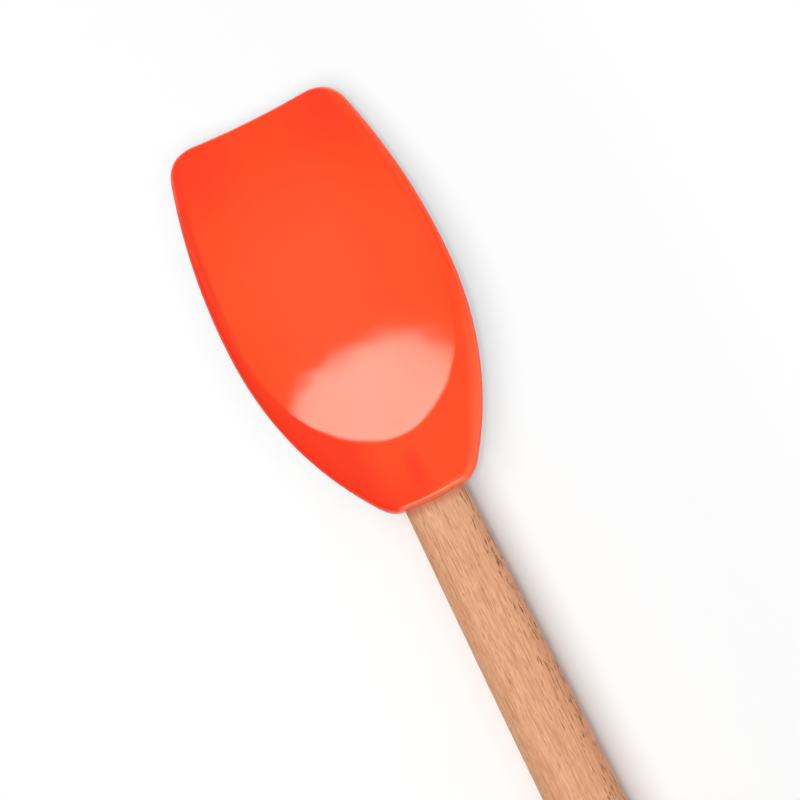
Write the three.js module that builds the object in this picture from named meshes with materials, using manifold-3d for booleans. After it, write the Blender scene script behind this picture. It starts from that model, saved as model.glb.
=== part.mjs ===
// Spoon spatula: a moulded rubber head pushed onto the tapered end of a beech handle.
// Millimetres. +X runs along the tool towards the tip, +Z is up out of the bowl, z = 0 is the table.
// Along the head, u is the distance from the tip towards the handle, so x = TIP_X - u.
import * as THREE from "three";
import { mergeVertices } from "three/addons/utils/BufferGeometryUtils.js";
import Module from "manifold-3d";

const wasm = await Module();
wasm.setup();

// The whole tool
const OVERALL_LENGTH = 315; // tip edge to butt
const FIT_GAP = 0.3; // air all round between the tenon and its socket

// Head seen from above
const HEAD_LENGTH = 100; // tip edge to collar edge
const HEAD_WIDTH = 57.5; // at the widest place
const WIDEST_AT = 46.7; // from the tip
const TIP_INSET = 7.25; // how far each side draws in between there and the tip
const TIP_CORNER = 5.1; // length of each leg of a rounded tip corner
const TIP_HOLLOW = 0.45; // how far the middle of the tip edge lies behind its corners
const SIDE_SWEEP = 1.8; // slope of the sides behind the tip against a straight line to the widest place
const COLLAR_WIDTH = 20.4; // between the collar's corners if they were sharp
const COLLAR_CORNER = 5.1; // leg of the collar's rounded corner along the neck
const COLLAR_LEG = 3.3; // leg of the same corner along the collar edge
const COLLAR_BOW = 0.6; // how far the collar edge bulges towards the handle
const NECK_FLARE = 0.62; // angle of the neck's sides at the collar, radians
const LIP_WIDTH = 1.2; // rim band at the tip
const RIM_WIDTH = 2.95; // rim band at the widest place
const NECK_LAND = 17; // from the bowl's mouth to the collar, on the axis

// Head seen from the side
const TIP_HEIGHT = 5.4; // top of the lip at the tip's corners
const TIP_SAG = 1; // how much lower the lip is in its middle
const COLLAR_HEIGHT = 14.2; // top of the neck at the collar
const RIM_BOW = 0.3; // how much the rim line arches between those two
const FLOOR_THICKNESS = 3.4; // rubber under the deepest line of the bowl
const LIP_THICKNESS = 1.6; // edge thickness at the tip
const NECK_EDGE = 4.6; // edge thickness beside the neck
const LIP_ROUND = 0.75; // how far the edge's rounding reaches in at the tip
const NECK_ROUND = 3.4; // the same beside the neck
const COLLAR_ROUND = 1.3; // the same at the collar's end face
const CREASE_ROUND = 1.5; // rounding of the bowl's mouth, each side of the crease
const BOWL_LIP_RUN = 20; // length of the rise from the bowl's floor to the tip
const BOWL_WALL_RUN = 33; // length of the rise from the bowl's floor to the neck
const REST_SINK = 0.15; // depth to which the back is flattened where it rests
const NECK_DOME = 2; // how much the neck's top falls towards its sides
const RIDGE_HEIGHT = 0.6; // soft ridge on the neck, over the tenon
const RIDGE_HALF = 4.5; // half the ridge's width
const RIDGE_RUN = 13; // how far the ridge reaches from the collar
const SOCKET_FLOOR = 1.7; // rubber under the tenon
const SOCKET_ROOF = 1.8; // rubber between the tenon's nose and the bowl
const KEEL_HALF = 11; // half the width of the socket's bulge on the back, at the axis height

// Handle
const NECK_WIDTH = 15.5; // where the handle leaves the collar
const NECK_THICKNESS = 9.2;
const GRIP_WIDTH = 18.8; // over the grip
const GRIP_THICKNESS = 14;
const GRIP_AT = 150; // from the collar to the start of the full grip
const BUTT_ROUND = 12; // length of the rounded butt
const FLAT_CUT = 0.35; // how far the oval is sanded flat above and below
const TENON_LENGTH = 28;
const TENON_NOSE_WIDTH = 11;
const NOSE_ROUND = 2; // length of the tenon's rounded nose

// How finely the curves are stepped
const TIP_STEPS = 5;
const CORNER_STEPS = 5;
const FRONT_STEPS = 9;
const NECK_STEPS = 12;
const COLLAR_STEPS = 4;
const BOWL_STEPS = 8;
const BAND_STEPS = 2;
const EDGE_STEPS = 8;
const BACK_STEPS = 12;
const ROUND_STEPS = 40;

const { lerp, smoothstep } = THREE.MathUtils;
const TIP_X = OVERALL_LENGTH / 2;
const COLLAR_X = TIP_X - HEAD_LENGTH;
const AXIS_Z = GRIP_THICKNESS / 2;
const TIP_HALF = HEAD_WIDTH / 2 - TIP_INSET;
const TIP_FLARE = Math.atan(SIDE_SWEEP * TIP_INSET / WIDEST_AT);
const MOUTH_END = HEAD_LENGTH - NECK_LAND;
const FLOOR_BACK = MOUTH_END - BOWL_WALL_RUN;
const TENON_BOTTOM = AXIS_Z - NECK_THICKNESS / 2;
const TENON_NOSE_U = HEAD_LENGTH - TENON_LENGTH;

const plan = (u, y) => new THREE.Vector2(u, y);

// Half of the head's outline, from the middle of the tip round to the middle of the collar.
function halfOutline() {
  const tip = plan(0, TIP_HALF);
  const flare = plan(Math.cos(TIP_FLARE), Math.sin(TIP_FLARE));
  const side = tip.clone().addScaledVector(flare, TIP_CORNER);
  const widest = plan(WIDEST_AT, HEAD_WIDTH / 2);
  const neck = plan(Math.cos(NECK_FLARE), -Math.sin(NECK_FLARE));
  const collar = plan(HEAD_LENGTH, COLLAR_WIDTH / 2);
  const shoulder = collar.clone().addScaledVector(neck, -COLLAR_CORNER);
  const front = widest.x - side.x;
  const rear = shoulder.x - widest.x;
  const tipEnd = plan(0, tip.y - TIP_CORNER);
  const collarEnd = plan(HEAD_LENGTH - COLLAR_BOW, collar.y - COLLAR_LEG);
  const pieces = [
    [new THREE.QuadraticBezierCurve(plan(TIP_HOLLOW, 0), plan(TIP_HOLLOW, tipEnd.y / 2), tipEnd), TIP_STEPS],
    [new THREE.QuadraticBezierCurve(tipEnd, tip, side), CORNER_STEPS],
    [
      new THREE.CubicBezierCurve(
        side,
        side.clone().addScaledVector(flare, 0.48 * front),
        plan(widest.x - 0.175 * front, widest.y),
        widest,
      ),
      FRONT_STEPS,
    ],
    [
      new THREE.CubicBezierCurve(
        widest,
        plan(widest.x + 0.34 * rear, widest.y),
        shoulder.clone().addScaledVector(neck, -0.4 * rear),
        shoulder,
      ),
      NECK_STEPS,
    ],
    [new THREE.QuadraticBezierCurve(shoulder, collar, collarEnd), COLLAR_STEPS],
    [
      new THREE.QuadraticBezierCurve(collarEnd, plan(HEAD_LENGTH, collarEnd.y / 2), plan(HEAD_LENGTH, 0)),
      COLLAR_STEPS,
    ],
  ];
  const points = [plan(TIP_HOLLOW, 0)];
  for (const [curve, steps] of pieces) {
    points.push(...curve.getSpacedPoints(steps).slice(1));
  }
  return points;
}

// Height of the rim, the neck's domed top and the ridge over the tenon.
function topHeight(u, y) {
  const along = u / HEAD_LENGTH;
  const line = lerp(TIP_HEIGHT, COLLAR_HEIGHT, along * (1 + RIM_BOW) - RIM_BOW * along * along);
  const sag = TIP_SAG * (1 - (y / TIP_HALF) ** 2) * (1 - smoothstep(u, 0, WIDEST_AT));
  const aside = (2 * y / COLLAR_WIDTH) ** 2;
  const dome = NECK_DOME * aside / (1 + aside) * smoothstep(u, FLOOR_BACK, HEAD_LENGTH);
  const ridge = RIDGE_HEIGHT * Math.exp(-((y / RIDGE_HALF) ** 2));
  const ridgeFade = smoothstep(u, HEAD_LENGTH - RIDGE_RUN, HEAD_LENGTH - RIDGE_RUN / 3);
  return line - Math.max(sag, 0) - dome + ridge * ridgeFade;
}

// Bulge of the socket on the back: a rounded keel that sinks into the bowl's back ahead of the tenon.
function keelHeight(u, y) {
  const bottom = TENON_BOTTOM - FIT_GAP - SOCKET_FLOOR;
  const ahead = 1 - smoothstep(u, FLOOR_BACK, TENON_NOSE_U);
  const aside = (y / KEEL_HALF) ** 2;
  return bottom + FLOOR_THICKNESS * ahead + (AXIS_Z - bottom) * aside * (0.35 + 0.65 * aside);
}

// The lower of two heights, blended where they are close together.
function softMin(a, b, blend) {
  const mix = Math.max(blend - Math.abs(a - b), 0) / blend;
  return Math.min(a, b) - mix * mix * blend / 4;
}

// Share of a ray from its foot to the edge at which it meets the mouth's elliptical end.
function mouthShare(foot, edge, centre, reach, half) {
  const run = edge.x - foot.x;
  const from = foot.x - centre;
  const a = (run / reach) ** 2 + (edge.y / half) ** 2;
  const b = from * run / reach ** 2;
  const c = (from / reach) ** 2 - 1;
  return (-b + Math.sqrt(b * b - a * c)) / a;
}

// One ray for each outline point, from its foot on the axis, with the shares where things change.
function headRays() {
  const edges = halfOutline();
  const widestIndex = TIP_STEPS + CORNER_STEPS + FRONT_STEPS;
  const rays = edges.map((edge, i) => {
    const back = smoothstep(edge.x, TIP_CORNER, MOUTH_END);
    const foot = plan(lerp(BOWL_LIP_RUN, FLOOR_BACK, back), 0);
    const reach = foot.distanceTo(edge);
    const atCollar = smoothstep(i, edges.length - 1 - 2 * COLLAR_STEPS, edges.length - 1 - COLLAR_STEPS);
    const along = Math.min(edge.x / HEAD_LENGTH, 1);
    const round = lerp(lerp(LIP_ROUND, NECK_ROUND, along ** 1.5), COLLAR_ROUND, atCollar);
    const band = lerp(LIP_WIDTH, RIM_WIDTH, Math.min(edge.x / WIDEST_AT, 1));
    return {
      edge, foot, reach, atCollar,
      rim: 1 - round / reach,
      mouth: 1 - band / reach,
      thickness: lerp(LIP_THICKNESS, NECK_EDGE, along),
    };
  });
  const widest = rays[widestIndex];
  const centre = lerp(widest.foot.x, widest.edge.x, widest.mouth);
  const half = widest.mouth * widest.edge.y;
  for (const ray of rays.slice(widestIndex + 1)) {
    ray.mouth = mouthShare(ray.foot, ray.edge, centre, MOUTH_END - centre, half);
  }
  return rays;
}

// Point on a ray at a share of its way, at the given height.
function onRay(ray, share, height) {
  const u = lerp(ray.foot.x, ray.edge.x, share);
  const y = share * ray.edge.y;
  return new THREE.Vector3(u, y, height(u, y));
}

// Squared half width, at u, of a line drawn at a share of each ray; both ends run on straight.
function sideSquare(rays, share, u) {
  const first = TIP_STEPS + CORNER_STEPS;
  const last = rays.length - 1 - 2 * COLLAR_STEPS;
  const ends = rays.slice(first, share === "mouth" ? rays.length : last + 1);
  const points = ends.map((ray) => onRay(ray, ray[share], () => 0));
  let i = 1;
  while (i < points.length - 1 && points[i].x < u) i++;
  const [p, q] = [points[i - 1], points[i]];
  return Math.max(lerp(p.y ** 2, q.y ** 2, (u - p.x) / (q.x - p.x)), 0);
}

// Height on the axis: level in the middle, a parabola up to the tip and another up to the neck.
function axisHeight(u, level, front, frontZ, back, backZ) {
  const ahead = Math.max(BOWL_LIP_RUN - u, 0) / (BOWL_LIP_RUN - front);
  const behind = Math.max(u - FLOOR_BACK, 0) / (back - FLOOR_BACK);
  return level + (frontZ - level) * ahead ** 2 + (backZ - level) * behind ** 2;
}

function bowlHeight(rays, u, y) {
  const lip = topHeight(LIP_WIDTH, 0);
  const axis = axisHeight(u, FLOOR_THICKNESS, LIP_WIDTH, lip, MOUTH_END, topHeight(MOUTH_END, 0));
  const square = sideSquare(rays, "mouth", u);
  const rim = topHeight(u, Math.sqrt(square));
  return axis + (rim - axis) * Math.min(y * y / Math.max(square, 1e-6), 1);
}

function bowlPoint(rays, ray, share) {
  const mouth = onRay(ray, ray.mouth, topHeight);
  const step = mouth.z - bowlHeight(rays, mouth.x, mouth.y);
  return onRay(ray, share, (u, y) => bowlHeight(rays, u, y) + step * (share / ray.mouth) ** 6);
}

function backPoint(rays, ray, share) {
  return onRay(ray, share, (u, y) => {
    const square = sideSquare(rays, "rim", u);
    const thickness = lerp(LIP_THICKNESS, NECK_EDGE, u / HEAD_LENGTH);
    const edge = topHeight(u, Math.sqrt(square)) - thickness;
    const lip = topHeight(LIP_ROUND, 0) - LIP_THICKNESS;
    const axis = axisHeight(u, -REST_SINK, LIP_ROUND, lip, HEAD_LENGTH, COLLAR_HEIGHT - NECK_EDGE);
    const blade = axis + (edge - axis) * y * y / Math.max(square, 1);
    return Math.max(softMin(blade, keelHeight(u, y), FLOOR_THICKNESS), 0);
  });
}

// All points of one ray in order: bowl, rounded mouth, rim band, edge, back.
function rayProfile(rays, ray) {
  const points = [];
  const soft = Math.min(CREASE_ROUND, 0.4 * (ray.rim - ray.mouth) * ray.reach) / ray.reach;
  const inner = ray.mouth - Math.max(soft, 0.25 * CREASE_ROUND / ray.reach);
  const outer = ray.mouth + soft;
  for (let i = 0; i <= BOWL_STEPS; i++) {
    points.push(bowlPoint(rays, ray, inner * i / BOWL_STEPS));
  }
  const crease = new THREE.QuadraticBezierCurve3(
    points[BOWL_STEPS],
    onRay(ray, ray.mouth, topHeight),
    onRay(ray, outer, topHeight),
  );
  points.push(...crease.getPoints(3).slice(1));
  for (let i = 1; i <= BAND_STEPS; i++) {
    points.push(onRay(ray, lerp(outer, ray.rim, i / BAND_STEPS), topHeight));
  }
  const top = points[points.length - 1].z;
  const bottom = backPoint(rays, ray, ray.rim).z;
  const power = 2 / lerp(2, 3.5, ray.atCollar);
  for (let i = 1; i < EDGE_STEPS; i++) {
    const angle = Math.PI * (0.5 - i / EDGE_STEPS);
    const share = lerp(ray.rim, 1, Math.cos(angle) ** power);
    const swing = Math.sign(angle) * Math.abs(Math.sin(angle)) ** power;
    points.push(onRay(ray, share, () => lerp(bottom, top, (1 + swing) / 2)));
  }
  for (let i = BACK_STEPS; i >= 0; i--) {
    points.push(backPoint(rays, ray, ray.rim * i / BACK_STEPS));
  }
  return points;
}

// Welds equal points and leaves out triangles that have shrunk to a line.
function weld(positions, triangles) {
  const loose = new THREE.BufferGeometry();
  loose.setAttribute("position", new THREE.Float32BufferAttribute(positions, 3));
  loose.setIndex(triangles);
  const geometry = mergeVertices(loose, 1e-3);
  const kept = [];
  const index = geometry.index.array;
  for (let i = 0; i < index.length; i += 3) {
    const [a, b, c] = [index[i], index[i + 1], index[i + 2]];
    if (a !== b && b !== c && c !== a) kept.push(a, b, c);
  }
  geometry.setIndex(kept);
  return geometry;
}

// Skin through columns of points, mirrored in the plane y = 0.
function mirroredSkin(columns) {
  const positions = [];
  const triangles = [];
  const rows = columns[0].length;
  for (const side of [1, -1]) {
    const base = positions.length / 3;
    for (const column of columns) {
      for (const p of column) positions.push(TIP_X - p.x, side * p.y, p.z);
    }
    for (let c = 0; c < columns.length - 1; c++) {
      for (let r = 0; r < rows - 1; r++) {
        const a = base + c * rows + r;
        const quad = [a, a + 1, a + rows + 1, a, a + rows + 1, a + rows];
        triangles.push(...(side > 0 ? quad : quad.reverse()));
      }
    }
  }
  return weld(positions, triangles);
}

// Section of the handle: an oval, sanded flat above and below.
function section(u, half, bottom, top) {
  const middle = (top + bottom) / 2;
  const height = (top - bottom) / 2;
  const full = height * (1 + FLAT_CUT / (GRIP_THICKNESS / 2));
  const ring = [];
  for (let i = 0; i < ROUND_STEPS; i++) {
    const angle = 2 * Math.PI * i / ROUND_STEPS;
    const across = Math.sign(Math.cos(angle)) * Math.abs(Math.cos(angle)) ** (2 / 2.6);
    const up = Math.sign(Math.sin(angle)) * Math.abs(Math.sin(angle)) ** (2 / 2.6);
    const z = THREE.MathUtils.clamp(full * up, -height, height);
    ring.push(new THREE.Vector3(TIP_X - u, half * across, middle + z));
  }
  return ring;
}

// Tenon section at u, grown by a gap all round. Its top is cut to a slope that runs under the bowl's wall.
function tenonSection(u, gap) {
  const share = (TENON_NOSE_U - FLOOR_BACK) / BOWL_WALL_RUN;
  const rise = topHeight(MOUTH_END, 0) - FLOOR_THICKNESS;
  const slope = 2 * rise * share / BOWL_WALL_RUN;
  const noseTop = FLOOR_THICKNESS + rise * share ** 2 - SOCKET_ROOF - FIT_GAP;
  const top = Math.min(noseTop + slope * (u - TENON_NOSE_U), AXIS_Z + NECK_THICKNESS / 2);
  const half = lerp(TENON_NOSE_WIDTH, NECK_WIDTH, (u - TENON_NOSE_U) / TENON_LENGTH) / 2;
  return section(u, half + gap, TENON_BOTTOM - gap, top + gap);
}

// Rings that close a loft with a rounded end: the section shrinks along a quarter ellipse.
function roundedEnd(ring, length, direction, power) {
  const centre = new THREE.Vector3();
  for (const p of ring) centre.addScaledVector(p, 1 / ring.length);
  const rings = [];
  const last = 0.985;
  for (const t of [0.35, 0.6, 0.8, 0.92, last]) {
    const scale = (1 - t ** power) ** (1 / power);
    rings.push(ring.map((p) => {
      const q = p.clone().sub(centre).multiplyScalar(scale).add(centre);
      q.x = p.x + direction * length * t / last;
      return q;
    }));
  }
  return rings;
}

// Closed loft through rings of equal point counts, capped at both ends.
function loft(rings) {
  const positions = [];
  const triangles = [];
  const count = rings[0].length;
  for (const ring of rings) {
    for (const p of ring) positions.push(p.x, p.y, p.z);
  }
  for (let r = 0; r < rings.length - 1; r++) {
    for (let i = 0; i < count; i++) {
      const j = (i + 1) % count;
      const [a, b, c, d] = [r * count + i, r * count + j, (r + 1) * count + j, (r + 1) * count + i];
      triangles.push(a, c, b, a, d, c);
    }
  }
  for (const [r, flip] of [[0, false], [rings.length - 1, true]]) {
    const middle = positions.length / 3;
    const centre = rings[r].reduce((sum, p) => sum.addScaledVector(p, 1 / count), new THREE.Vector3());
    positions.push(centre.x, centre.y, centre.z);
    for (let i = 0; i < count; i++) {
      const j = (i + 1) % count;
      const [a, b] = [r * count + i, r * count + j];
      triangles.push(...(flip ? [b, a, middle] : [a, b, middle]));
    }
  }
  return weld(positions, triangles);
}

// Tenon from its nose to the collar; the socket is the same shape grown by the gap and run out of the head.
function tenonRings(gap) {
  const stations = [NOSE_ROUND, 6, 10, 15, 20, TENON_LENGTH].map((run) => TENON_NOSE_U + run);
  const rings = stations.map((u) => tenonSection(u, gap));
  const nose = roundedEnd(tenonSection(TENON_NOSE_U + NOSE_ROUND, gap), NOSE_ROUND + gap, 1, 2.2);
  return [...nose.reverse(), ...rings];
}

function handleRings() {
  const length = OVERALL_LENGTH - HEAD_LENGTH;
  const rings = tenonRings(0);
  const straight = length - BUTT_ROUND;
  const stops = [0.03, 0.08, 0.14, 0.21, 0.3, 0.4, 0.52, 0.65, 0.82, 1].map((t) => t * GRIP_AT);
  for (const run of [...stops, (GRIP_AT + straight) / 2, straight]) {
    const ease = 1 - (1 - Math.min(run / GRIP_AT, 1)) ** 1.8;
    const half = lerp(NECK_WIDTH, GRIP_WIDTH, ease) / 2;
    const height = lerp(NECK_THICKNESS, GRIP_THICKNESS, ease) / 2;
    rings.push(section(HEAD_LENGTH + run, half, AXIS_Z - height, AXIS_Z + height));
  }
  rings.push(...roundedEnd(rings[rings.length - 1], BUTT_ROUND, -1, 2.4));
  return rings;
}

function toSolid(geometry) {
  return new wasm.Manifold(new wasm.Mesh({
    numProp: 3,
    vertProperties: geometry.attributes.position.array,
    triVerts: new Uint32Array(geometry.index.array),
  }));
}

function toGeometry(solid) {
  const mesh = solid.getMesh();
  return weld(Array.from(mesh.vertProperties), Array.from(mesh.triVerts));
}

function socketCutter() {
  const rings = tenonRings(FIT_GAP);
  const mouth = rings[rings.length - 1].map((p) => new THREE.Vector3(COLLAR_X - TENON_LENGTH, p.y, p.z));
  return loft([...rings, mouth]);
}

const rays = headRays();
const headSkin = mirroredSkin(rays.map((ray) => rayProfile(rays, ray)));
const headSolid = toSolid(headSkin).subtract(toSolid(socketCutter()));

function piece(name, geometry, color, roughness) {
  geometry.computeVertexNormals();
  const material = new THREE.MeshStandardMaterial({ color, roughness, metalness: 0 });
  const mesh = new THREE.Mesh(geometry, material);
  mesh.name = name;
  return mesh;
}

const tool = new THREE.Group();
tool.name = "spoon_spatula";
tool.add(piece("silicone_head", toGeometry(headSolid), 0xff5029, 0.38));
tool.add(piece("beech_handle", loft(handleRings()), 0xe4a880, 0.6));

export default tool;
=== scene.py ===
# %% [markdown]
# # A spoon spatula with a rubber head and a beech handle
# The tool is two pieces: a soft moulded head with a shallow bowl, and a wooden stick whose tapered end
# sits in the head's socket. The CAD solids are loaded first, because they fix where everything is.
# Both solids are then replaced by finer pieces of the same size, so that light runs smoothly over them.

# %% Load the frame
import math

import bpy
import numpy as np
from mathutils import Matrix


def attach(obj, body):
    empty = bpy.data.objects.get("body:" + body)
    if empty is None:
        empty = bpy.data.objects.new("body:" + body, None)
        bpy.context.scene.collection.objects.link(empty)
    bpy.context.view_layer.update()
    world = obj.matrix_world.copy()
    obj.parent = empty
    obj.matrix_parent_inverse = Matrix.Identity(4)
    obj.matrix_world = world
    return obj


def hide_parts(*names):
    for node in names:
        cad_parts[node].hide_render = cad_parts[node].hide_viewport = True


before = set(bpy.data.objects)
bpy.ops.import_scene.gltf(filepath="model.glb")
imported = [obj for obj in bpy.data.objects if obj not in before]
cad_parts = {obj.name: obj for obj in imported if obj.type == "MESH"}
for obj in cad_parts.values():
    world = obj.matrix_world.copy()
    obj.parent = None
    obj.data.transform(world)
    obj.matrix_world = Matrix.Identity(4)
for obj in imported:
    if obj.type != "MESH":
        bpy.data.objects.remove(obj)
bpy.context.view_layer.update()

# %% [markdown]
# ## Measures
# All sizes are written in millimetres, as on a drawing, and turned into metres only when points are
# placed. Along the head, u is the distance from the tip towards the handle; x runs the other way.

# %% Measures of the tool
MM = 0.001
OVERALL_LENGTH = 315.0
HEAD_LENGTH = 100.0
HEAD_WIDTH = 57.5
WIDEST_AT = 46.7
TIP_X = OVERALL_LENGTH / 2
AXIS_Z = 7.0


def x_at(u):
    """The place along the tool, in metres, that lies u millimetres behind the tip."""
    return MM * (TIP_X - u)


print("collar at x =", TIP_X - HEAD_LENGTH, "mm")


# %% [markdown]
# ## The head's outline
# Seen from above, the head has a straight thin tip with rounded corners, sides that swell to the widest
# place and then draw in to a narrow collar. It could be traced with a curve object. Here six short
# Bezier arcs are sampled in code instead, because the same arcs also steer the bowl and the rim.

# %% Sample Bezier arcs at even spacing
ARC_SAMPLES = 600


def spaced(controls, steps):
    """Points at even distances along the Bezier arc with these control points."""
    t = np.linspace(0, 1, ARC_SAMPLES)[:, None]
    points = [np.array(c, float) for c in controls]
    while len(points) > 1:
        points = [a + (b - a) * t for a, b in zip(points, points[1:])]
    arc = points[0]
    length = np.append(0, np.cumsum(np.hypot(*np.diff(arc, axis=0).T)))
    even = np.linspace(0, length[-1], steps + 1)[1:]
    return np.stack([np.interp(even, length, arc[:, k]) for k in (0, 1)], axis=1)


print("a straight arc in two steps:", spaced([(0, 0), (1, 0)], 2).tolist())

# %% Sizes of the outline
TIP_INSET = 7.25
TIP_CORNER = 6.3
TIP_HOLLOW = 0.45
COLLAR_WIDTH = 20.4
COLLAR_CORNER = 5.1
COLLAR_LEG = 3.3
COLLAR_BOW = 0.6
COLLAR_LIP = 0.6
COLLAR_AT = HEAD_LENGTH + COLLAR_LIP
NECK_FLARE = 0.62  # radians off the tool's axis
SIDE_SWEEP = 1.8
FRONT_PULL = (0.48, 0.175)
REAR_PULL = (0.34, 0.4)
TIP_HALF = HEAD_WIDTH / 2 - TIP_INSET
TIP_FLARE = math.atan(SIDE_SWEEP * TIP_INSET / WIDEST_AT)
print("tip width:", 2 * TIP_HALF, "mm, its sides flare by", round(math.degrees(TIP_FLARE), 1), "degrees")

# %% Half of the outline, from the middle of the tip to the middle of the collar
TIP_STEPS, CORNER_STEPS, FRONT_STEPS, NECK_STEPS, COLLAR_STEPS = 22, 16, 40, 60, 14

tip = np.array([0, TIP_HALF])
flare = np.array([math.cos(TIP_FLARE), math.sin(TIP_FLARE)])
side = tip + TIP_CORNER * flare
widest = np.array([WIDEST_AT, HEAD_WIDTH / 2])
neck = np.array([math.cos(NECK_FLARE), -math.sin(NECK_FLARE)])
collar = np.array([COLLAR_AT, COLLAR_WIDTH / 2])
shoulder = collar - COLLAR_CORNER * neck
front, rear = widest[0] - side[0], shoulder[0] - widest[0]
swell = [side + FRONT_PULL[0] * front * flare, widest - (FRONT_PULL[1] * front, 0)]
narrow = [widest + (REAR_PULL[0] * rear, 0), shoulder - REAR_PULL[1] * rear * neck]
tip_end = np.array([0, TIP_HALF - TIP_CORNER])
collar_end = np.array([COLLAR_AT - COLLAR_BOW, COLLAR_WIDTH / 2 - COLLAR_LEG])
edge = np.vstack([
    [(TIP_HOLLOW, 0)],
    spaced([(TIP_HOLLOW, 0), (TIP_HOLLOW, tip_end[1] / 2), tip_end], TIP_STEPS),
    spaced([tip_end, tip, side], CORNER_STEPS),
    spaced([side, *swell, widest], FRONT_STEPS),
    spaced([widest, *narrow, shoulder], NECK_STEPS),
    spaced([shoulder, collar, collar_end], COLLAR_STEPS),
    spaced([collar_end, (COLLAR_AT, collar_end[1] / 2), (COLLAR_AT, 0)], COLLAR_STEPS),
])
print("outline points on one side:", len(edge), "widest", edge[:, 1].max(), "mm")


# %% [markdown]
# ## Heights of the mould
# A moulded spoon is easiest to think of as two surfaces, as in its mould: the top one with the rim, the
# neck and the bowl, and the back. Each is a height over the plan. On the axis the bowl is level in the
# middle and rises along a parabola to the tip and to the neck; across, it rises to the rim.

# %% Rim, neck and the ridge over the handle's end
TIP_HEIGHT = 5.4
TIP_SAG = 1.0
COLLAR_HEIGHT = 14.2
RIM_BOW = 0.3
NECK_DOME = 3.0
RIDGE_HEIGHT = 0.28
RIDGE_HALF = 2.2
RIDGE_RUN = 14.0
NECK_LAND = 17.4
MOUTH_END = HEAD_LENGTH - NECK_LAND
BOWL_LIP_RUN = 20.0
BOWL_WALL_RUN = 33.0
FLOOR_BACK = MOUTH_END - BOWL_WALL_RUN


def mix(a, b, t):
    """The value at share t of the way from a to b."""
    return a + (b - a) * t


def ease(value, low, high):
    """0 below low, 1 above high, smooth in between."""
    t = np.clip((value - low) / (high - low), 0, 1)
    return t * t * (3 - 2 * t)


def top_height(u, y):
    """Height of the upper face without the bowl: rim, neck and ridge."""
    along = u / HEAD_LENGTH
    line = mix(TIP_HEIGHT, COLLAR_HEIGHT, along * (1 + RIM_BOW) - RIM_BOW * along ** 2)
    sag = TIP_SAG * (1 - (y / TIP_HALF) ** 2) * (1 - ease(u, 0, WIDEST_AT))
    aside = (2 * y / COLLAR_WIDTH) ** 2
    dome = NECK_DOME * aside / (1 + aside) * ease(u, FLOOR_BACK, HEAD_LENGTH)
    ridge = RIDGE_HEIGHT * np.exp(-((y / RIDGE_HALF) ** 2))
    fade = ease(u, HEAD_LENGTH - RIDGE_RUN, HEAD_LENGTH - RIDGE_RUN / 3)
    return line - np.maximum(sag, 0) - dome + ridge * fade


print("rim heights at tip corner and collar:", top_height(0, TIP_HALF), top_height(HEAD_LENGTH, 0))

# %% Rays from the bowl's floor line out to the outline
LIP_WIDTH = 0.5
RIM_WIDTH = 2.95
LIP_ROUND = 0.22
NECK_ROUND = 7.0
MOUTH_POWER = 2.2
COLLAR_ROUND = 2.9
ROUND_GROWTH = 1.6
HALVINGS = 40

foot = mix(BOWL_LIP_RUN, FLOOR_BACK, ease(edge[:, 0], TIP_CORNER, MOUTH_END))
reach = np.hypot(edge[:, 0] - foot, edge[:, 1])
order = np.arange(len(edge))
at_collar = ease(order, len(edge) - 1 - 3 * COLLAR_STEPS, len(edge) - 1 - COLLAR_STEPS)
along = np.minimum(edge[:, 0] / HEAD_LENGTH, 1)
rounding = mix(mix(LIP_ROUND, NECK_ROUND, along ** ROUND_GROWTH), COLLAR_ROUND, at_collar)
rim = 1 - rounding / reach
mouth = 1 - mix(LIP_WIDTH, RIM_WIDTH, np.minimum(edge[:, 0] / WIDEST_AT, 1)) / reach

at_widest = TIP_STEPS + CORNER_STEPS + FRONT_STEPS
centre = mix(foot[at_widest], edge[at_widest, 0], mouth[at_widest])
half = mouth[at_widest] * edge[at_widest, 1]
mouth_reach = MOUTH_END - centre
low, high = np.zeros(len(edge)), np.ones(len(edge))
for _ in range(HALVINGS):
    middle = (low + high) / 2
    long = np.maximum(mix(foot, edge[:, 0], middle) - centre, 0) / mouth_reach
    inside = long ** MOUTH_POWER + (middle * edge[:, 1] / half) ** MOUTH_POWER < 1
    low, high = np.where(inside, middle, low), np.where(inside, high, middle)
mouth = np.where(order > at_widest, low, mouth)
mouth_ends = mix(foot[-1], edge[-1, 0], mouth[-1])
print("rays:", len(edge), "mouth ends", round(mouth_ends, 2), "mm from the tip")


# %% Lines drawn across the rays
RUN_ON_AHEAD, RUN_ON_BEHIND = 5, 20


def on_rays(share):
    """Where this share of each ray ends, as u and y."""
    return mix(foot, edge[:, 0], share), share * edge[:, 1]


def side_square(share, last, u):
    """Squared half width at u of the line at this share of each ray, run on straight at both ends."""
    first = TIP_STEPS + CORNER_STEPS
    line_u, line_y = (values[first:last] for values in on_rays(share))
    line_u, square = np.array(line_u), np.array(line_y) ** 2
    slopes = [(square[i + 1] - square[i]) / (line_u[i + 1] - line_u[i]) for i in (0, len(square) - 2)]
    ahead = square[0] - slopes[0] * (line_u[0] + RUN_ON_AHEAD)
    behind = square[-1] + slopes[1] * RUN_ON_BEHIND
    line_u = np.concatenate([[-RUN_ON_AHEAD], line_u, [line_u[-1] + RUN_ON_BEHIND]])
    return np.maximum(np.interp(u, line_u, np.concatenate([[ahead], square, [behind]])), 0)


mouth_half = float(np.sqrt(side_square(mouth, None, WIDEST_AT)))
print("half width of the mouth at its widest:", round(mouth_half, 2), "mm")

# %% The bowl as a height
FLOOR_THICKNESS = 3.4


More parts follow.
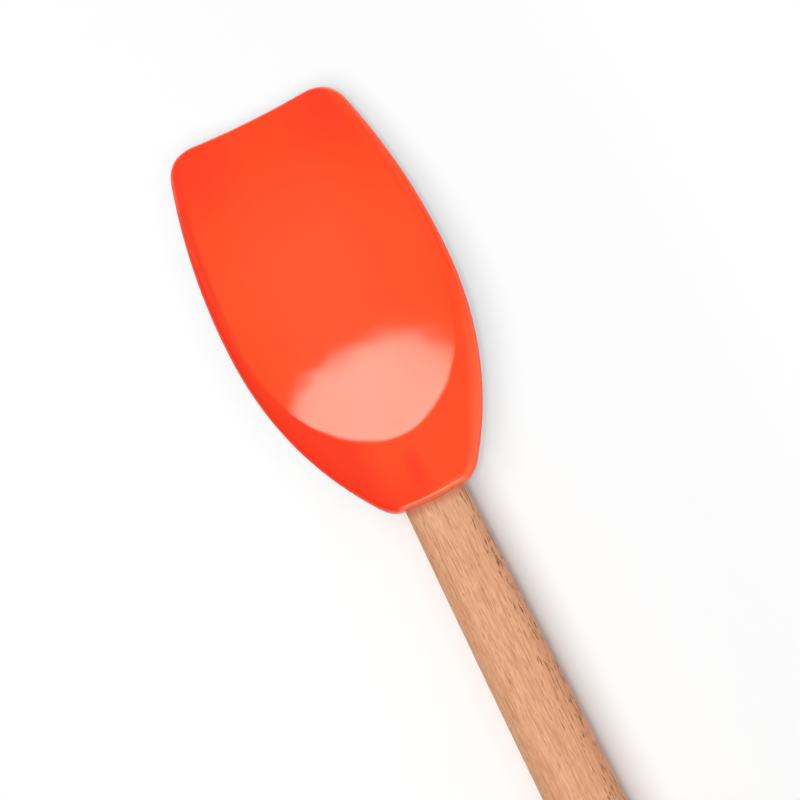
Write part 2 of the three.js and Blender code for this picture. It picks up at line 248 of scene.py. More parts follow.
def axis_height(u, level, ahead_u, ahead_z, behind_u, behind_z):
    """Level in the middle, with a parabola up to a point ahead and to one behind."""
    ahead = np.maximum(BOWL_LIP_RUN - u, 0) / (BOWL_LIP_RUN - ahead_u)
    behind = np.maximum(u - FLOOR_BACK, 0) / (behind_u - FLOOR_BACK)
    return level + (ahead_z - level) * ahead ** 2 + (behind_z - level) * behind ** 2


def bowl_height(u, y):
    """Height of the bowl's floor and walls, which meet the upper face at the mouth."""
    lip = top_height(LIP_WIDTH, 0)
    axis = axis_height(u, FLOOR_THICKNESS, LIP_WIDTH, lip, MOUTH_END, top_height(MOUTH_END, 0))
    square = side_square(mouth, None, u)
    share = np.minimum(y * y / np.maximum(square, 1e-6), 1)
    return axis + (top_height(u, np.sqrt(square)) - axis) * share


depth = float(top_height(WIDEST_AT, half) - bowl_height(WIDEST_AT, 0.0))
print("bowl depth below the rim at its widest:", round(depth, 2), "mm")

# %% The back as a height
LIP_THICKNESS = 1.6
NECK_EDGE = 4.6
REST_SINK = 0.15
KEEL_HALF = 11.0
KEEL_FLANK = 0.35
TENON_BOTTOM = 2.4
TENON_LENGTH = 28.0
SOCKET_FLOOR = 2.0
TENON_NOSE_U = HEAD_LENGTH - TENON_LENGTH


def back_height(u, y):
    """Height of the underside: a thin blade in front, a keel round the socket behind."""
    square = side_square(rim, -2 * COLLAR_STEPS, u)
    thickness = mix(LIP_THICKNESS, NECK_EDGE, u / HEAD_LENGTH)
    lip = top_height(LIP_ROUND, 0) - LIP_THICKNESS
    axis = axis_height(u, -REST_SINK, LIP_ROUND, lip, HEAD_LENGTH, COLLAR_HEIGHT - NECK_EDGE)
    outer = top_height(u, np.sqrt(square)) - thickness
    blade = axis + (outer - axis) * y * y / np.maximum(square, 1)
    aside = (y / KEEL_HALF) ** 2
    bottom = TENON_BOTTOM - SOCKET_FLOOR
    keel = bottom + FLOOR_THICKNESS * (1 - ease(u, FLOOR_BACK, TENON_NOSE_U))
    keel = keel + (AXIS_Z - bottom) * aside * mix(KEEL_FLANK, 1, aside)
    near = np.maximum(FLOOR_THICKNESS - np.abs(blade - keel), 0) / FLOOR_THICKNESS
    return np.maximum(np.minimum(blade, keel) - near ** 2 * FLOOR_THICKNESS / 4, 0)


wall = float(bowl_height(WIDEST_AT, 0.0) - back_height(WIDEST_AT, 0.0))
print("rubber under the bowl at its widest:", round(wall, 2), "mm thick")

# %% [markdown]
# ## The head's skin
# The rubber skin is one sheet that starts on the bowl's floor, climbs the wall, turns over the soft
# crease at the mouth, runs across the rim, round the edge and back under the bowl. By hand one would
# extrude ring after ring. A grid is the quicker start: one direction of the grid follows the rays and
# the other goes round the outline, and each point is pressed onto the mould. A mirror makes the other
# half.

# %% Rings of the half skin, from the bowl's floor to the rim
CREASE_ROUND = 1.5
CREASE_SHARE = 0.4
CREASE_LEAST = 0.25
CREASE_RISE = 6
BOWL_STEPS, CREASE_STEPS, BAND_STEPS = 36, 8, 8

rings = []
soft = np.minimum(CREASE_ROUND, CREASE_SHARE * (rim - mouth) * reach) / reach
inner = mouth - np.maximum(soft, CREASE_LEAST * CREASE_ROUND / reach)
outer = mouth + soft
mouth_u, mouth_y = on_rays(mouth)
step = top_height(mouth_u, mouth_y) - bowl_height(mouth_u, mouth_y)
for share in np.linspace(0, 1, BOWL_STEPS + 1):
    u, y = on_rays(inner * share)
    rings.append((u, y, bowl_height(u, y) + step * (inner * share / mouth) ** CREASE_RISE))
start = np.stack(rings[-1])
bend = np.stack([mouth_u, mouth_y, top_height(mouth_u, mouth_y)])
over_u, over_y = on_rays(outer)
over = np.stack([over_u, over_y, top_height(over_u, over_y)])
for t in np.linspace(0, 1, CREASE_STEPS + 1)[1:]:
    rings.append(tuple((1 - t) ** 2 * start + 2 * t * (1 - t) * bend + t * t * over))
for t in np.linspace(0, 1, BAND_STEPS + 1)[1:]:
    u, y = on_rays(mix(outer, rim, t))
    rings.append((u, y, top_height(u, y)))
print("rings on the upper face:", len(rings))

# %% Rings round the edge and under the back
RIM_BEND = 1.7
BACK_BEND = 2
COLLAR_BEND = 3.1
EDGE_STEPS, BACK_STEPS = 22, 36

top = rings[-1][2]
bottom = back_height(*on_rays(rim))
above = 2 / mix(RIM_BEND, COLLAR_BEND, at_collar)
below = 2 / mix(BACK_BEND, COLLAR_BEND, at_collar)
for angle in np.linspace(math.pi / 2, -math.pi / 2, EDGE_STEPS + 1)[1:-1]:
    power = above if angle > 0 else below
    swing = math.copysign(1, angle) * abs(math.sin(angle)) ** power
    u, y = on_rays(mix(rim, 1, math.cos(angle) ** power))
    rings.append((u, y, mix(bottom, top, (1 + swing) / 2)))
for share in np.linspace(1, 0, BACK_STEPS + 1):
    u, y = on_rays(rim * share)
    rings.append((u, y, back_height(u, y)))
skin = np.stack([np.stack(ring) for ring in rings])
print("rings:", len(rings), "each of", skin.shape[2], "points")


# %% Work on one piece at a time
MERGE_DISTANCE = 2e-6
COLLAPSED = 1e-7


def clear_selection():
    """Leaves edit mode and selects nothing."""
    if bpy.context.object and bpy.context.object.mode != "OBJECT":
        bpy.ops.object.mode_set(mode="OBJECT")
    bpy.ops.object.select_all(action="DESELECT")


def pick(piece):
    """Makes this piece the one that the operators work on."""
    clear_selection()
    piece.select_set(True)
    bpy.context.view_layer.objects.active = piece


def apply_modifier(piece, kind, **settings):
    """Adds a modifier with these settings and applies it at once."""
    pick(piece)
    modifier = piece.modifiers.new(kind.lower(), kind)
    for key, value in settings.items():
        setattr(modifier, key, value)
    bpy.ops.object.modifier_apply(modifier=modifier.name)


def tidy_mesh(piece):
    """Merges doubled points, drops collapsed faces and points all faces outwards."""
    pick(piece)
    bpy.ops.object.mode_set(mode="EDIT")
    bpy.ops.mesh.select_all(action="SELECT")
    bpy.ops.mesh.remove_doubles(threshold=MERGE_DISTANCE)
    bpy.ops.mesh.dissolve_degenerate(threshold=COLLAPSED)
    bpy.ops.mesh.select_all(action="SELECT")
    bpy.ops.mesh.normals_make_consistent(inside=False)
    bpy.ops.object.mode_set(mode="OBJECT")


print("points closer than", MERGE_DISTANCE, "m are merged")

# %% Press a grid onto the mould and mirror it
clear_selection()
ring_count, ray_count = skin.shape[0], skin.shape[2]
bpy.ops.mesh.primitive_grid_add(x_subdivisions=ring_count - 1, y_subdivisions=ray_count - 1, size=1)
head = bpy.context.object
head.name = head.data.name = "rubber_head"
flat = np.empty(len(head.data.vertices) * 3)
head.data.vertices.foreach_get("co", flat)
flat = flat.reshape(-1, 3)
ring_at = np.rint((flat[:, 0] + 0.5) * (ring_count - 1)).astype(int)
ray_at = np.rint((flat[:, 1] + 0.5) * (ray_count - 1)).astype(int)
placed = skin[ring_at, :, ray_at]
placed[:, 0] = TIP_X - placed[:, 0]
head.data.vertices.foreach_set("co", (placed * MM).ravel())
head.data.update()
apply_modifier(head, "MIRROR", use_axis=(False, True, False), merge_threshold=MERGE_DISTANCE)
tidy_mesh(head)
print("head skin:", len(head.data.polygons), "faces")

# %% [markdown]
# ## The handle
# The stick is turned and sanded: a flattened oval that swells from the collar to the grip and ends in a
# round butt. Inside the head it tapers to a tongue, cut away on top to stay under the bowl. It is made
# as by hand: one oval, then extrude and scale along the stick, first one way, then the other.

# %% An oval loop that is sanded flat above and below
NECK_WIDTH = 15.5
NECK_THICKNESS = 9.2
GRIP_WIDTH = 18.8
GRIP_THICKNESS = 14.0
FLAT_CUT = 0.35
OVAL_POWER = 2.6
ROUND_STEPS = 96


def add_oval(name, u, half_width, low, high):
    """A loop of points across the stick; low and high are the heights of its flats."""
    clear_selection()
    bpy.ops.mesh.primitive_circle_add(vertices=ROUND_STEPS, radius=1)
    stick = bpy.context.object
    stick.name = stick.data.name = name
    full = 1 + FLAT_CUT / (GRIP_THICKNESS / 2)
    for vertex in stick.data.vertices:
        across, up = (math.copysign(abs(v) ** (2 / OVAL_POWER), v) for v in vertex.co.xy)
        height = mix(low, high, (1 + max(-1, min(1, full * up))) / 2)
        vertex.co = (x_at(u), MM * half_width * across, MM * height)
    bpy.ops.object.mode_set(mode="EDIT")
    bpy.ops.mesh.select_all(action="SELECT")
    return stick


print("points round the stick:", ROUND_STEPS)


# %% Extrude the loop to the next section
def next_oval(now, then):
    """Extrudes the selected loop from one section (u, half width, low, high) to another."""
    move = (now[0] - then[0], 0, (then[2] + then[3] - now[2] - now[3]) / 2)
    scale = (1, then[1] / now[1], (then[3] - then[2]) / (now[3] - now[2]))
    middle = (x_at(then[0]), 0, MM * (then[2] + then[3]) / 2)
    bpy.ops.mesh.extrude_region_move(TRANSFORM_OT_translate={"value": [MM * v for v in move]})
    bpy.ops.transform.resize(value=scale, center_override=middle)
    return then


def dome(t, power):
    """The share of its width that a dome still has at share t of its length."""
    return (1 - t ** power) ** (1 / power)


def round_off(section, length, power, steps):
    """Closes the selected loop with a dome of this length, signed along u."""
    u, half_width, low, high = section
    middle, height = (low + high) / 2, (high - low) / 2
    for t in np.sin(np.linspace(0, math.pi / 2, steps + 1))[1:-1]:
        k = dome(t, power)
        then = (u + length * t, half_width * k, middle - height * k, middle + height * k)
        section = next_oval(section, then)
    bpy.ops.mesh.extrude_region_move()
    bpy.ops.mesh.merge(type="CENTER")


print("half way, a round dome keeps", round(dome(0.5, 2), 3), "of its width")

# %% Sections of the hidden tongue and of the stick
SOCKET_ROOF = 1.8
FIT_GAP = 0.3
TENON_NOSE_WIDTH = 11.0
NOSE_ROUND = 2.0
GRIP_AT = 150.0
GRIP_GROWTH = 1.8
BUTT_ROUND = 12.0
NOSE_POWER, BUTT_POWER = 2.2, 2.4
TONGUE_STEPS, NOSE_STEPS, STICK_STEPS, BUTT_STEPS = 26, 6, 60, 14


def tongue_section(u, gap):
    """Section of the tongue at u, made larger all round by the gap."""
    share = (TENON_NOSE_U - FLOOR_BACK) / BOWL_WALL_RUN
    rise = float(top_height(MOUTH_END, 0)) - FLOOR_THICKNESS
    nose_top = FLOOR_THICKNESS + rise * share ** 2 - SOCKET_ROOF - FIT_GAP
    slope = 2 * rise * share / BOWL_WALL_RUN
    high = min(nose_top + slope * (u - TENON_NOSE_U), AXIS_Z + NECK_THICKNESS / 2)
    half_width = mix(TENON_NOSE_WIDTH, NECK_WIDTH, (u - TENON_NOSE_U) / TENON_LENGTH) / 2
    return u, half_width + gap, TENON_BOTTOM - gap, high + gap


def stick_section(u):
    """Section of the bare stick at u, which swells up to the grip."""
    grown = 1 - (1 - min((u - HEAD_LENGTH) / GRIP_AT, 1)) ** GRIP_GROWTH
    height = mix(NECK_THICKNESS, GRIP_THICKNESS, grown) / 2
    return u, mix(NECK_WIDTH, GRIP_WIDTH, grown) / 2, AXIS_Z - height, AXIS_Z + height


def extrude_tongue(section, gap):
    """Runs the selected loop from the collar to the tongue's rounded nose."""
    for u in np.linspace(HEAD_LENGTH, TENON_NOSE_U + NOSE_ROUND, TONGUE_STEPS)[1:]:
        section = next_oval(section, tongue_section(u, gap))
    round_off(section, -NOSE_ROUND - gap, NOSE_POWER, NOSE_STEPS)


def select_loop(u):
    """Selects the points across the stick at u."""
    bpy.ops.object.mode_set(mode="OBJECT")
    for vertex in bpy.context.object.data.vertices:
        vertex.select = abs(vertex.co.x - x_at(u)) < MERGE_DISTANCE / 2
    bpy.ops.object.mode_set(mode="EDIT")


print("tongue and collar sections:", tongue_section(TENON_NOSE_U, 0), stick_section(HEAD_LENGTH))


# %% Model the handle
section = stick_section(HEAD_LENGTH)
handle = add_oval("beech_stick", *section)
extrude_tongue(section, 0)
select_loop(HEAD_LENGTH)
butt_start = OVERALL_LENGTH - BUTT_ROUND
for u in np.linspace(HEAD_LENGTH, butt_start, STICK_STEPS)[1:]:
    section = next_oval(section, stick_section(u))
round_off(section, BUTT_ROUND, BUTT_POWER, BUTT_STEPS)
tidy_mesh(handle)
places = [vertex.co.x / MM for vertex in handle.data.vertices]
length = max(places) - min(places)
print("handle:", len(handle.data.polygons), "faces, length", round(length, 1), "mm")

# %% [markdown]
# ## The socket
# The rubber grips the tongue so tightly that no gap shows at the collar. A copy of the tongue, a hair
# larger and run out past the collar, is taken out of the head with a Boolean modifier.

# %% Cut the socket out of the head
GRIP_GAP = 0.06
CUTTER_RUN = 10
section = tongue_section(HEAD_LENGTH, GRIP_GAP)
cutter = add_oval("socket_cutter", *section)
extrude_tongue(section, GRIP_GAP)
select_loop(HEAD_LENGTH)
section = next_oval(section, (HEAD_LENGTH + CUTTER_RUN, *section[1:]))
bpy.ops.mesh.edge_face_add()
tidy_mesh(cutter)
apply_modifier(head, "BOOLEAN", operation="DIFFERENCE", solver="EXACT", object=cutter)
bpy.data.objects.remove(cutter)
print("head with socket:", len(head.data.polygons), "faces")

# %% Smooth shading
SMOOTH_ANGLE = math.radians(38)
for piece in (head, handle):
    pick(piece)
    bpy.ops.object.shade_smooth_by_angle(angle=SMOOTH_ANGLE)
    print(piece.name, "sharp edges:", sum(e.use_edge_sharp for e in piece.data.edges))


# %% [markdown]
# ## Writing materials as sums
# A material is a graph of nodes. Written out node by node it is hard to read, so one small class stands
# for a socket: adding or multiplying two of them adds a Math node, and `add` makes any other node.

# %% A socket that can be calculated with
class Wire:
    """One output of a node; arithmetic on it adds Math nodes."""

    def __init__(self, tree, socket=None):
        self.tree, self.socket = tree, socket

    def add(self, kind, settings=None, inputs=None, output=0):
        """Makes a node of this kind, links its inputs and gives one of its outputs."""
        node = self.tree.nodes.new(kind)
        for key, value in (settings or {}).items():
            setattr(node, key, value)
        for key, value in (inputs or {}).items():
            if isinstance(value, Wire):
                self.tree.links.new(value.socket, node.inputs[key])
            else:
                node.inputs[key].default_value = value
        return Wire(self.tree, node.outputs[output] if node.outputs else None)

    def maths(self, operation, first, second=0.0, clamp=False):
        settings = {"operation": operation, "use_clamp": clamp}
        return self.add("ShaderNodeMath", settings, {0: first, 1: second})

    def __add__(self, other):
        return self.maths("ADD", self, other)

    def __sub__(self, other):
        return self.maths("SUBTRACT", self, other)

    def __rsub__(self, other):
        return self.maths("SUBTRACT", other, self)

    def __mul__(self, other):
        return self.maths("MULTIPLY", self, other)

    __radd__ = __add__
    __rmul__ = __mul__

    def between(self, low, high):
        """0 at low and 1 at high, smooth in between; low may be the larger one."""
        settings = {"interpolation_type": "SMOOTHSTEP"}
        inputs = {"Value": self, "From Min": low, "From Max": high}
        return self.add("ShaderNodeMapRange", settings, inputs)

    def blend(self, tint, other):
        """Mixes two colours by this value; 6, 7 and 2 are the Mix node's sockets for colours."""
        settings = {"data_type": "RGBA"}
        return self.add("ShaderNodeMix", settings, {0: self, 6: tint, 7: other}, output=2)

    def noise(self, place, scale, detail=3.0):
        inputs = {"Vector": place, "Scale": scale, "Detail": detail, "Roughness": 0.5}
        return self.add("ShaderNodeTexNoise", None, inputs)

    def stretch(self, place, scale, turn=0.0, shift=(0, 0, 0)):
        inputs = {"Vector": place, "Location": shift, "Rotation": (0, 0, turn), "Scale": scale}
        return self.add("ShaderNodeMapping", None, inputs)


print("besides sums, a wire has:", ", ".join(name for name in vars(Wire) if not name.startswith("_")))


# %% Colours, and how a material starts and ends
def colour(red, green, blue):
    """A colour as read from a screen, 0 to 255, in linear light."""
    screen = [value / 255 for value in (red, green, blue)]
    linear = [v / 12.92 if v < 0.0404 else ((v + 0.055) / 1.055) ** 2.4 for v in screen]
    return (*linear, 1.0)


def new_finish(name):
    """An empty material, and a wire to add its nodes with."""
    material = bpy.data.materials.new(name)
    material.use_nodes = True
    material.node_tree.nodes.clear()
    return material, Wire(material.node_tree)


def object_place(w):
    """Object coordinates, and the parts of them along and across the tool."""
    place = w.add("ShaderNodeTexCoord", output="Object")
    parts = [w.add("ShaderNodeSeparateXYZ", None, {"Vector": place}, output=axis) for axis in "XY"]
    return place, *parts


def layered(tint, layers):
    """Lays colours over a first one in turn; each layer says how much of it shows, and its colour."""
    for share, layer_tint in layers.values():
        tint = share.blend(tint, layer_tint)
    print("layers:", ", ".join(layers))
    return tint


def put_on(piece, material, w, shader):
    """Ends a material with this shader and gives it to a piece as its only one."""
    w.add("ShaderNodeOutputMaterial", None, {"Surface": shader})
    piece.data.materials.clear()
    piece.data.materials.append(material)
    print(piece.name, "wears", material.name, "with", len(material.node_tree.nodes), "nodes")


print("screen grey 128 in linear light:", round(colour(128, 128, 128)[0], 3))

# %% [markdown]
# ## Moulded rubber
# The head is satin silicone in one strong orange red, with a little clouding. Light and shade are
# painted into that colour: lighter in the middle of the bowl, where a faint sheen and light coming up
# through the thin floor fall, and darker towards the walls, the tip and most in its corners. The rim
# band is painted darker, most on the left, and lighter on the right, as light falls from the right. A
# short, faint painted shade runs down the neck beside the ridge over the tongue inside, and the collar's
# lip carries a painted highlight line and a paler painted reflection at its edge. The mould leaves a
# very fine bloom that breaks up the gloss. A moulded wall is also never quite true: a bump of less than
# a tenth of a millimetre makes the mirrored edge of the lamp waver. All of it lies on Object
# coordinates.

# %% Where a point lies on the head
FRONT_REACH = 68.0
CLOUD_SCALE, WAVE_SCALE, BLOOM_SCALE = 45.0, 90.0, 2600.0
CLOUD_WANDER, TIP_WANDER = 0.05, 0.1

rubber, w = new_finish("orange_silicone")
place, x, y = object_place(w)
clouds = w.noise(place, CLOUD_SCALE, detail=2.0)
waves = w.noise(place, WAVE_SCALE, detail=1.0)
bloom = w.noise(place, BLOOM_SCALE, detail=2.0)
aside = w.maths("ABSOLUTE", y)
ahead = x - x_at(WIDEST_AT)
before = w.maths("MAXIMUM", ahead, 0.0) * (1 / (MM * FRONT_REACH))
behind = w.maths("MINIMUM", ahead, 0.0) * (1 / (MM * mouth_reach))
long = before + behind
wide = y * (1 / (MM * half))
out = long * long + wide * wide + CLOUD_WANDER * (clouds - 0.5)
print("the bowl's tint spreads from", round(TIP_X - WIDEST_AT, 1), "mm along x")

# %% Areas of the rubber that differ in tint
LAND_FADE, LAND_SIDES = (x_at(112), x_at(82)), (14 * MM, 6 * MM)
CORNER_SIDES, CORNER_FADE = (3 * MM, 20 * MM), (0.38, 0.64)
RIDGE_SHADE_ASIDE, RIDGE_SHADE_SIDES = 0.9 * MM, (3.2 * MM, 0.1 * MM)
RIDGE_SHADE_START, RIDGE_SHADE_END = (x_at(99), x_at(94)), (x_at(85), x_at(90))
LIP_BOW, LIP_SIDES = 0.4 * COLLAR_BOW, (9.6 * MM, 6.4 * MM)
LEFT_TO_RIGHT = (8 * MM, -8 * MM)
REAR_TO_FRONT = (0.05, 0.45)

# Painted shade: the walls are painted deeper than the middle of the bowl, which is painted lighter.
wall_shade_tint = long.between(*REAR_TO_FRONT).blend(colour(255, 77, 24), colour(255, 71, 12))
land = x.between(*LAND_FADE) * aside.between(*LAND_SIDES)
# Painted shade and light: the rim band is darker, most on the left, and lighter on its right side;
# the land on top of the neck is kept out of that painted shade.
rim_band_shade_tint = layered(colour(247, 48, 0), {
    "painted light on the right of the rim band": (y.between(*LEFT_TO_RIGHT), colour(255, 67, 9)),
    "land behind the bowl": (land, colour(255, 70, 15)),
})
# Painted shade: the tip's corners are darkened.
corners = aside.between(*CORNER_SIDES) * long.between(*CORNER_FADE)
# Painted shade: a faint dark streak on the left flank of the ridge over the tongue.
ridge_shade = w.maths("ABSOLUTE", y - RIDGE_SHADE_ASIDE).between(*RIDGE_SHADE_SIDES)
ridge_shade = ridge_shade * x.between(*RIDGE_SHADE_START) * x.between(*RIDGE_SHADE_END)
# Painted highlight and reflection: a pale line along the collar's lip and a paler band at its edge;
# lip marks where across the collar they are painted.
from_collar = x - x_at(COLLAR_AT) - (LIP_BOW / (MM * collar_end[1] ** 2)) * (y * y)
lip = aside.between(*LIP_SIDES)

# %% The rubber's finish
WAVE_DEPTH = BLOOM_DEPTH = 0.2 * MM
BLOOM_STRENGTH = 0.04
LIP_HIGHLIGHT_LINE, LIP_REFLECTION_EDGE = (2.0 * MM, 1.7 * MM), (1.6 * MM, 1.3 * MM)

# Painted light and shade: the bowl's middle is lighter; the walls, the tip and its corners are darker.
tint = layered(colour(255, 78, 29), {
    "wall": (out.between(0.0, 0.85), wall_shade_tint),
    "tip": ((long + TIP_WANDER * (clouds - 0.5)).between(0.18, 0.66), colour(255, 62, 2)),
    "painted shade in the tip corners": (0.75 * corners, colour(255, 46, 0)),
    # Painted shade on the rim band.
    "rim band": (out.between(0.93, 1.04), rim_band_shade_tint),
    "painted shade beside the neck ridge": (0.75 * ridge_shade, colour(255, 50, 4)),
    "painted highlight on the lip": (lip * from_collar.between(*LIP_HIGHLIGHT_LINE), colour(255, 142, 100)),
    "painted reflection on the lip's edge": (lip * from_collar.between(*LIP_REFLECTION_EDGE), colour(255, 104, 70)),
})
uneven = w.add("ShaderNodeBump", None, {"Strength": 1.0, "Distance": WAVE_DEPTH, "Height": waves})
skin_bump = w.add("ShaderNodeBump", None, {
    "Strength": BLOOM_STRENGTH, "Distance": BLOOM_DEPTH, "Height": bloom, "Normal": uneven,
})
shader = w.add("ShaderNodeBsdfPrincipled", None, {
    "Base Color": tint,
    "Roughness": 0.09 + 0.03 * clouds + 0.015 * bloom,
    "IOR": 1.55,
    "Normal": skin_bump,
})
put_on(head, rubber, w, shader)

# %% [markdown]
# ## Beech
# Beech is pale pink brown with fine straight grain. What gives it away are short dark flecks, a
# millimetre or two long, lying along the grain; they crowd on one side of the stick, where the cut runs
# across the rays, and are few on the other. The grain runs along x, so noise is stretched that way. The
# last two millimetres before the collar, and the tongue just inside it, are painted darker as the shade
# that the collar throws on the wood.

# %% Grain and flecks
GRAIN_TURN = math.radians(1.2)
BAND_WANDER = 5 * MM
BAND_SIDES = (-2.5 * MM, -7.5 * MM)


def grain(scale, shift=(0, 0, 0), detail=3.0):
    """Noise drawn out along the stick; scale is how fast it changes along x, y and z."""
    return w.noise(w.stretch(place, scale, GRAIN_TURN, shift), 1.0, detail)


beech, w = new_finish("oiled_beech")
place, x, y = object_place(w)
broad = grain((9, 170, 170))
lines = grain((80, 2700, 2700))
streaks = grain((300, 3200, 3200), shift=(3, 7, 1))
fleck_noise = grain((350, 2800, 2800), shift=(9, 2, 5), detail=1.0)
band = (y + BAND_WANDER * (broad - 0.5)).between(*BAND_SIDES)
flecks = (fleck_noise + 0.1 * band).between(0.68, 0.73) * (0.55 + 0.4 * band)
print("nodes of the grain:", len(beech.node_tree.nodes))

# %% The wood's finish
COLLAR_SHADE_START = (x_at(COLLAR_AT + 2.4), x_at(COLLAR_AT - 0.2))
COLLAR_SHADE_END = (x_at(COLLAR_AT - 4.0), x_at(COLLAR_AT - 0.6))
PORE_DEPTH = 0.2 * MM

# Painted shade: the wood next to the collar and the tongue just inside it are darkened.
collar_shade = x.between(*COLLAR_SHADE_START) * x.between(*COLLAR_SHADE_END)
wood = layered(colour(223, 164, 124), {
    "broad grain": (broad.between(0.3, 0.7), colour(211, 148, 108)),
    "dark lines": (0.7 * lines.between(0.5, 0.68), colour(184, 118, 78)),
    "dark streaks": (0.5 * streaks.between(0.52, 0.68), colour(186, 118, 80)),
    "pale streaks": (0.35 * streaks.between(0.48, 0.32), colour(244, 190, 148)),
    "deeper side": (0.4 * band, colour(190, 124, 90)),
    "flecks": (flecks, colour(122, 66, 42)),
    "painted shade at the collar": (0.7 * collar_shade, colour(184, 98, 64)),
})
pores = w.add("ShaderNodeBump", None, {
    "Strength": 0.3, "Distance": PORE_DEPTH, "Height": 1 - flecks - 0.5 * lines - 0.3 * streaks,
})
shader = w.add("ShaderNodeBsdfPrincipled", None, {
    "Base Color": wood,
    "Roughness": 0.52 + 0.12 * lines + 0.1 * flecks,
    "IOR": 1.45,
    "Normal": pores,
})
put_on(handle, beech, w, shader)

# %% [markdown]
# ## Tie the pieces to the frame
# Each piece rides on a CAD body, so the head slides off the tongue with its joint, and each one is shown
# in place of the CAD node, which is hidden.

# %% Ride on the bodies and hide the CAD nodes
for piece, body, node, slot in (
    (head, "head", "silicone_head", "silicone"),
    (handle, "handle", "beech_handle", "beech"),
):
    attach(piece, body)
    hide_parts(node)
    triangles = sum(len(p.vertices) - 2 for p in piece.data.polygons)
    print(piece.name, "rides on", body, "with", triangles, "triangles")

# %% [markdown]
# ## Floor, light and camera
# The tool lies on a white table under soft studio light, seen from straight above. One oval soft lamp
# stands beyond the tip: its mirror image is the pale patch on the bowl's wall. As with a photographer's
# flags, each lamp does one job. One lights the tool from above. Three lamps light the table alone: the
# one on the left throws the soft shadow, the one overhead the faint one all round, and the small one the
# dark line along the edge. The cards are only seen as reflections, a low sheen on the rim and the neck.
# All hang at slightly different heights, because lamps in one plane take light from each other. Far
# from the tool the table turns to plain white; near it, it keeps the shadow, and the head throws none of
# its orange onto it.

# %% The table
TABLE_SIZE = 6
PAPER_SCALE = 3.0
FADE_STRETCH = (0.22, 1, 1)
FADE_RANGE = (0.05, 0.1)

clear_selection()
bpy.ops.mesh.primitive_plane_add(size=TABLE_SIZE, location=(0, 0, 0))
table = bpy.context.object
table.name = "table"
white, w = new_finish("white_table")
place = w.add("ShaderNodeTexCoord", output="Object")
paper = w.noise(place, PAPER_SCALE).blend(colour(253, 253, 253), colour(255, 255, 255))
lit = w.add("ShaderNodeBsdfDiffuse", None, {"Color": paper})
blank = w.add("ShaderNodeEmission", None, {"Color": (1, 1, 1, 1), "Strength": 1.0})
drawn_out = w.stretch(place, FADE_STRETCH)
away = w.add("ShaderNodeVectorMath", {"operation": "LENGTH"}, {0: drawn_out}, output="Value")
seen_by = ("Is Camera Ray", "Is Glossy Ray", "Is Transmission Ray")
seen, mirrored, passed = (w.add("ShaderNodeLightPath", output=ray) for ray in seen_by)
far = away.between(*FADE_RANGE) * w.maths("ADD", seen, mirrored + passed, clamp=True)
put_on(table, white, w, w.add("ShaderNodeMixShader", None, {0: far, 1: lit, 2: blank}))
head.visible_diffuse = False


# %% A soft lamp
def soft_lamp(name, place, aim, size, radiance, reflected, shape="RECTANGLE"):
    """A soft lamp that faces a point; it is either only reflected or only gives light."""
    lamp = bpy.data.lights.new(name, "AREA")
    lamp.shape = shape
    lamp.size, lamp.size_y = size
    area = size[0] * size[1] * (math.pi / 4 if shape == "ELLIPSE" else 1)
    lamp.energy = math.pi * area * radiance
    stand = bpy.data.objects.new(name, lamp)
    bpy.context.scene.collection.objects.link(stand)
    stand.location = place
    x, y, z = np.array(aim, float) - np.array(place, float)
    stand.rotation_euler = (math.atan2(math.hypot(x, y), -z), 0, math.atan2(-x, y))
    stand.visible_camera = False
    stand.visible_glossy = reflected
    stand.visible_diffuse = not reflected
    print(name, "gives", round(lamp.energy, 2), "W")
    return stand


def shines_only_on(stand, *pieces):
    """Keeps a lamp's light for these pieces, as a flag beside the lamp would."""
    group = bpy.data.collections.new(stand.name + "_receivers")
    for piece in pieces:
        group.objects.link(piece)
    stand.light_linking.receiver_collection = group


# %% A lamp face that dims towards its edge
CRISP_END = (-0.1, -0.2)
CRISP_RIM, CRISP_CORE, CRISP_LEVEL = 0.06, 0.09, 0.7


def fade_edges(stand, warmth, inner, ends, crisp=0.0):
    """Dims a lamp's face towards its edge and its ends, as cloth does; crisp tightens one end."""
    lamp = stand.data
    lamp.use_nodes = True
    lamp.node_tree.nodes.clear()
    w = Wire(lamp.node_tree)
    place = w.add("ShaderNodeNewGeometry", output="Parametric")
    from_middle = {0: place, 1: (0.5, 0.5, 0)}
    off = w.add("ShaderNodeVectorMath", {"operation": "DISTANCE"}, from_middle, output="Value")
    across = w.add("ShaderNodeSeparateXYZ", None, {"Vector": place}) - 0.5
    tight = crisp * across.between(*CRISP_END)
    dimming = 1 - ends * (1 - CRISP_LEVEL * tight) * across * across
    glow = off.between(0.5 - CRISP_RIM * tight, inner + CRISP_CORE * tight) * dimming
    light = w.add("ShaderNodeEmission", None, {"Color": (*warmth, 1), "Strength": glow})
    w.add("ShaderNodeOutputLight", None, {"Surface": light})
    print(stand.name, "dims from", inner, "of its width off its middle")


# %% The lamp and the cards that are only reflected
MIRROR_ANGLE = math.radians(42)
MIRROR_DISTANCE = 0.8

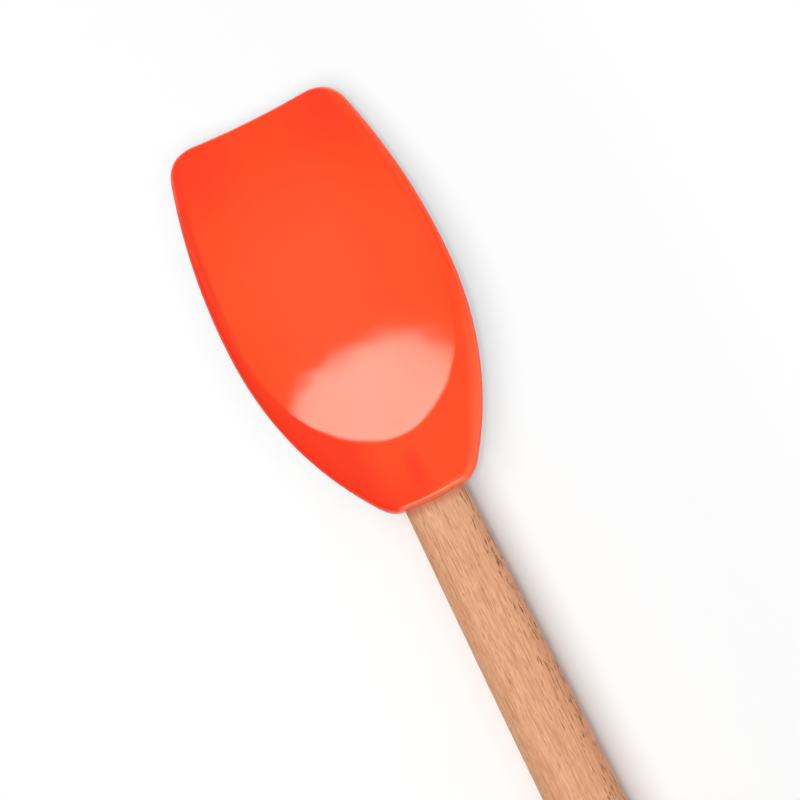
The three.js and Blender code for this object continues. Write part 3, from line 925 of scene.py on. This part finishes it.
bowl = np.array([0.095, -0.06, 0.01])
beyond = bowl + MIRROR_DISTANCE * np.array([math.sin(MIRROR_ANGLE), 0, math.cos(MIRROR_ANGLE)])
oval = soft_lamp(
    "lamp_beyond_tip", place=beyond, aim=bowl,
    size=(2.0, 0.74), radiance=7.05, reflected=True, shape="ELLIPSE",
)
fade_edges(oval, warmth=(1.0, 0.97, 0.86), inner=0.25, ends=3.6, crisp=1.0)
ceiling = soft_lamp(
    "card_above", place=(0.4, -0.2, 1.1), aim=(0.4, -0.2, 0),
    size=(2.2, 1.8), radiance=0.13, reflected=True,
)
fade_edges(ceiling, warmth=(1.0, 0.95, 0.6), inner=0.2, ends=1.7)
low_card = soft_lamp(
    "card_low_right", place=(-0.45, -0.6, 0.35), aim=(0.07, 0, 0.01),
    size=(1.7, 2.4), radiance=1.95, reflected=True,
)
fade_edges(low_card, warmth=(1.0, 0.95, 0.55), inner=0.0, ends=0.0)
side_card = soft_lamp(
    "card_right", place=(0.15, -0.9, 0.22), aim=(0.1, 0, 0.01),
    size=(1.5, 0.55), radiance=0.75, reflected=True,
)
fade_edges(side_card, warmth=(1.0, 0.95, 0.75), inner=0.2, ends=1.7)

# %% The lamps that give light, and the light of the room
ROOM_LIGHT = 0.29

above = soft_lamp(
    "lamp_above", place=(0.05, 0.0, 1.0), aim=(0.05, 0, 0),
    size=(2.6, 2.6), radiance=1.17, reflected=False,
)
for stand in (ceiling, low_card, side_card, above):
    shines_only_on(stand, head, handle)
left = soft_lamp(
    "lamp_left", place=(0.1, 0.4, 1.02), aim=(0.08, 0, 0),
    size=(1.3, 0.9), radiance=2.2, reflected=False,
)
over = soft_lamp(
    "lamp_over_table", place=(0.08, 0.0, 1.06), aim=(0.08, 0, 0),
    size=(2.4, 2.4), radiance=0.22, reflected=False,
)
over.data.cycles.use_multiple_importance_sampling = False
spot = soft_lamp(
    "lamp_spot", place=(0.08, 0.147, 1.2), aim=(0.08, 0, 0),
    size=(0.1, 0.1), radiance=48.0, reflected=False,
)
for stand in (left, over, spot):
    shines_only_on(stand, table)

world = bpy.data.worlds.new("studio")
bpy.context.scene.world = world
world.use_nodes = True
background = world.node_tree.nodes["Background"]
background.inputs["Color"].default_value = (1, 1, 1, 1)
background.inputs["Strength"].default_value = ROOM_LIGHT
print("light of the room:", ROOM_LIGHT)

# %% The camera
LENS = 200.0
SENSOR = 36.0
PIXELS = 800
PIXELS_PER_MM = 4.23
VIEW_X, VIEW_Y, VIEW_Z = 81.8, -2.85, 9.0
TURN = math.radians(243.63)

distance = PIXELS / PIXELS_PER_MM * LENS / SENSOR
lens = bpy.data.cameras.new("camera")
lens.lens, lens.sensor_width = LENS, SENSOR
lens.clip_start, lens.clip_end = 0.01, 20
camera = bpy.data.objects.new("camera", lens)
bpy.context.scene.collection.objects.link(camera)
camera.location = (MM * VIEW_X, MM * VIEW_Y, MM * (VIEW_Z + distance))
camera.rotation_euler = (0, 0, TURN)
bpy.context.scene.camera = camera
bpy.context.scene.view_settings.view_transform = "Standard"
print("camera", round(distance), "mm above the bowl")
